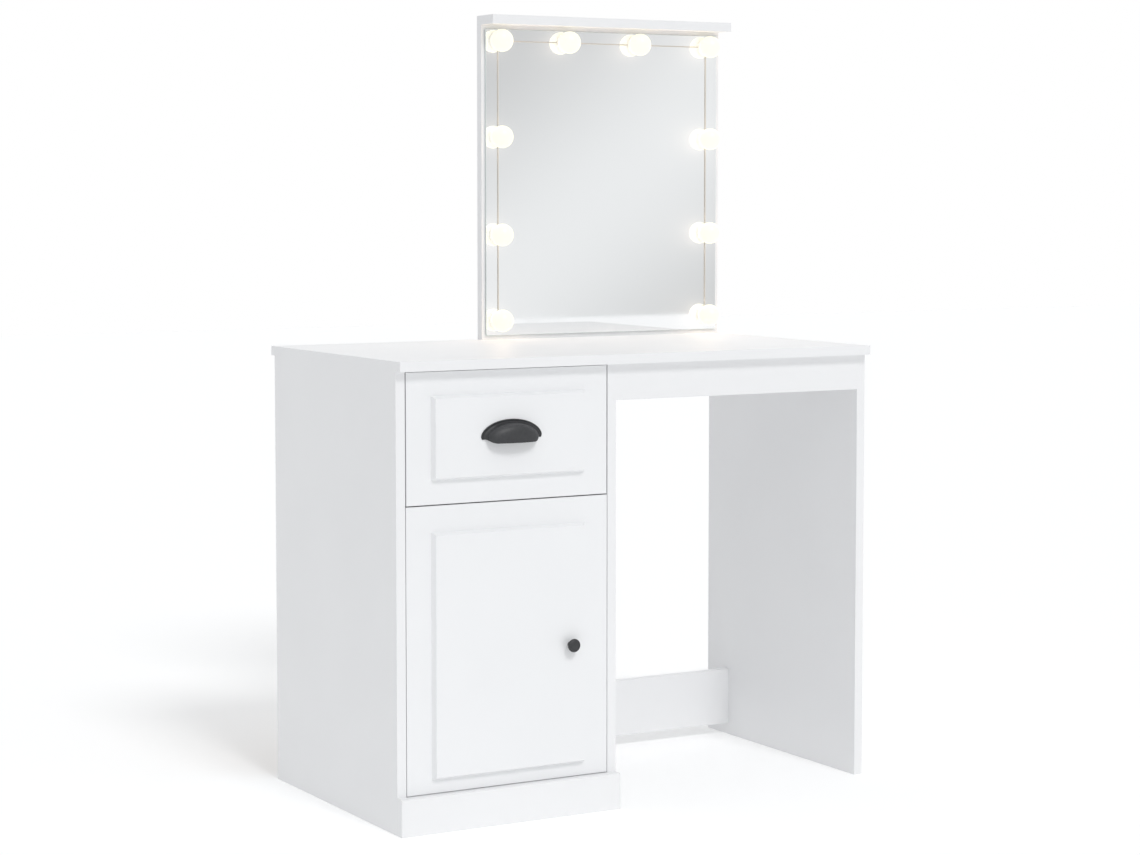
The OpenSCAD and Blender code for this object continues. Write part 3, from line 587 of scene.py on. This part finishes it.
seat_angle = 180 - math.degrees(math.asin(GLOBE_SEAT / GLOBE_R))
inner_angle = 180 - math.degrees(math.asin((GLOBE_SEAT - GLOBE_WALL) / (GLOBE_R - GLOBE_WALL)))
globe_profile = arc((0, globe_centre_out), GLOBE_R, 0, seat_angle, 36)
globe_profile += arc((0, globe_centre_out), GLOBE_R - GLOBE_WALL, inner_angle, 0, 24)
globe_profile[0] = (0, globe_centre_out + GLOBE_R)
globe_profile[-1] = (0, globe_centre_out + GLOBE_R - GLOBE_WALL)

# Each lamp spills a little warm light onto everything near it. A stronger light that only the
# mirror catches makes the soft halo round the lamp on the glass.
SPILL_POWER = 0.055
SPILL_COLOUR = (1.0, 0.66, 0.46)
HALO_POWER = 0.20
HALO_COLOUR = (1.0, 0.86, 0.72)
halo_catchers = bpy.data.collections.new("halo_catchers")
halo_catchers.objects.link(mirror)


def lamp_glow(name, spot, energy, colour):
    """A small light in the middle of a globe."""
    light = bpy.data.objects.new(name, bpy.data.lights.new(name, "POINT"))
    light.data.energy = energy
    light.data.color = colour
    light.data.shadow_soft_size = GLOBE_R * 0.8
    light.location = spot - Vector((0, globe_centre_out, 0))
    bpy.context.scene.collection.objects.link(light)
    return light


for number, spot in enumerate(lamp_spots, start=1):
    globe_bm = turned(globe_profile, 48)
    bmesh.ops.translate(globe_bm, verts=globe_bm.verts, vec=spot)
    shade_smooth(globe_bm)
    globe = new_piece(f"opal_globe_{number}", globe_bm, opal, "carcass", "lamp_opal",
                      f"lamp_globe_{number}")
    globe.visible_shadow = False
    lamp_glow(f"glow_{number}", spot, SPILL_POWER, SPILL_COLOUR)
    halo = lamp_glow(f"halo_{number}", spot, HALO_POWER, HALO_COLOUR)
    halo.light_linking.receiver_collection = halo_catchers

BACK_ROUND = 0.0006
FRONT_ROUND = 0.0012
DISH_R = GLOBE_SEAT - 0.0022
DISH_SLOPE = 0.0004
DISH_DEPTH = 0.0008
base_profile = [(0, 0), (BASE_R - BACK_ROUND, 0)]
base_profile += arc((BASE_R - BACK_ROUND, BACK_ROUND), BACK_ROUND, 180, 90, 3)
base_profile += arc((BASE_R - FRONT_ROUND, BASE_T - FRONT_ROUND), FRONT_ROUND, 90, 0, 5)
base_profile += [(DISH_R, BASE_T), (DISH_R - DISH_SLOPE, BASE_T - DISH_DEPTH)]
base_profile += [(0, BASE_T - DISH_DEPTH)]
bases_bm = bmesh.new()
base_mesh = bpy.data.meshes.new("one_lamp_base")
one_base = turned(base_profile, 48)
one_base.to_mesh(base_mesh)
one_base.free()
for spot in lamp_spots:
    before = set(bases_bm.verts)
    bases_bm.from_mesh(base_mesh)
    fresh = [v for v in bases_bm.verts if v not in before]
    bmesh.ops.translate(bases_bm, verts=fresh, vec=spot)
bpy.data.meshes.remove(base_mesh)
shade_smooth(bases_bm)
new_piece("lamp_base_discs", bases_bm, base_painted_glow, "carcass", "lamp_white", "lamp_bases")

chip, chip_tree, chip_shader = new_finish("light_board", (0.85, 0.84, 0.80), 0.4)
chip_dots = add_node(chip_tree, "ShaderNodeTexVoronoi", {"Scale": 180.0})
chip_spot = add_node(chip_tree, "ShaderNodeMath", {0: chip_dots.outputs["Distance"], 1: 0.28},
                     operation="LESS_THAN").outputs[0]
chip_tree.links.new(
    add_node(chip_tree, "ShaderNodeTexCoord").outputs["Object"], chip_dots.inputs["Vector"])
chip_tree.links.new(two_colours(chip_tree, chip_spot, (0.86, 0.85, 0.81), (0.90, 0.66, 0.16)),
                    chip_shader.inputs["Base Color"])
wear("lamp_led_boards", chip)


# ---------------------------------------------------------------------------------------
# Lamp wires
# A thin pale twin wire runs straight along the glass from each base into the next, and a
# short sleeve guards it where it enters a base.

wire_skin, wire_tree, wire_shader = new_finish("pale_wire_skin", (0.68, 0.65, 0.60), 0.35)
wire_tree.links.new(
    spread(wire_tree, speckle(wire_tree, 300, 2), 0.28, 0.42), wire_shader.inputs["Roughness"])
press_relief(wire_tree, wire_shader, speckle(wire_tree, 1500, 1), 0.00002)
STRAND_R = 0.0005
STRAND_IN = 0.002
SLEEVE_R = 0.000992
SLEEVE_IN = 0.001
SLEEVE_OUT = 0.003
wires_low, wires_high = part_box("lamp_wires")
wire_y = (wires_low.y + wires_high.y) / 2
wires_bm = bmesh.new()
for start, end in zip(lamp_spots, lamp_spots[1:]):
    way = (end - start).normalized()
    side = way.cross(Vector((0, 1, 0)))
    for shift in (-STRAND_R, STRAND_R):
        offset = side * shift + Vector((0, wire_y - glass_front, 0))
        add_rod(wires_bm, start + way * (BASE_R - STRAND_IN) + offset,
                end - way * (BASE_R - STRAND_IN) + offset, STRAND_R)
    for spot, into in ((start, way), (end, -way)):
        middle = spot + Vector((0, wire_y - glass_front, 0))
        add_rod(wires_bm, middle + into * (BASE_R - SLEEVE_IN),
                middle + into * (BASE_R + SLEEVE_OUT), SLEEVE_R)
shade_smooth(wires_bm)
new_piece("twin_wires", wires_bm, wire_skin, "carcass", "wire_clear", "lamp_wires")


# ---------------------------------------------------------------------------------------
# Steel fittings
# Cam housings and bolts, screws, runner channels and concealed hinges: pressed, turned or
# cast, then zinc or nickel plated. Beech dowels sit beside the cams.

def steel_finish(name, colour, roughness, stretch):
    """Plated steel with fine marks along the way that the stretch leaves long."""
    finish, tree, shader = new_finish(name, colour, roughness, 1.0)
    marks = speckle(tree, 260, 3, stretch)
    darker = tuple(c * 0.86 for c in colour)
    tree.links.new(two_colours(tree, spread(tree, marks, 0, 1), colour, darker),
                   shader.inputs["Base Color"])
    tree.links.new(spread(tree, marks, roughness - 0.06, roughness + 0.1),
                   shader.inputs["Roughness"])
    press_relief(tree, shader, marks, 0.00002)
    return finish


zinc = steel_finish("zinc_plating", (0.66, 0.67, 0.69), 0.34, (1, 1, 1))
rolled_zinc = steel_finish("rolled_zinc", (0.68, 0.69, 0.70), 0.30, (3, 0.04, 3))
nickel = steel_finish("nickel_plating", (0.72, 0.70, 0.67), 0.22, (1, 1, 1))
for zinc_node in ("cam_housings", "cam_bolts", "cabinet_screws", "mirror_board_screws",
                  "pull_screws", "drawer_box_screws", "drawer_runner_screws", "knob_screw"):
    wear(zinc_node, zinc)
for side in ("left", "right"):
    for member in ("cabinet", "middle", "drawer"):
        runner_node = f"{side}_runner_{member}_member"
        wear(runner_node, rolled_zinc)
        ease_edges(runner_node, 0.0002)
wear("hinge_cup_screws", nickel)
for height in ("lower", "upper"):
    for part in ("cup", "link", "arm", "plate"):
        hinge_node = f"{height}_hinge_{part}"
        wear(hinge_node, nickel)
        ease_edges(hinge_node, 0.0002)

beech, beech_tree, beech_shader = new_finish("beech", (0.62, 0.42, 0.24), 0.6)
beech_grain = spread(beech_tree, speckle(beech_tree, 90, 4, (6, 1, 6)), 0, 1)
beech_tree.links.new(two_colours(beech_tree, beech_grain, (0.66, 0.46, 0.27), (0.50, 0.32, 0.17)),
                     beech_shader.inputs["Base Color"])
press_relief(beech_tree, beech_shader, beech_grain, 0.00005)
wear("dowels", beech)
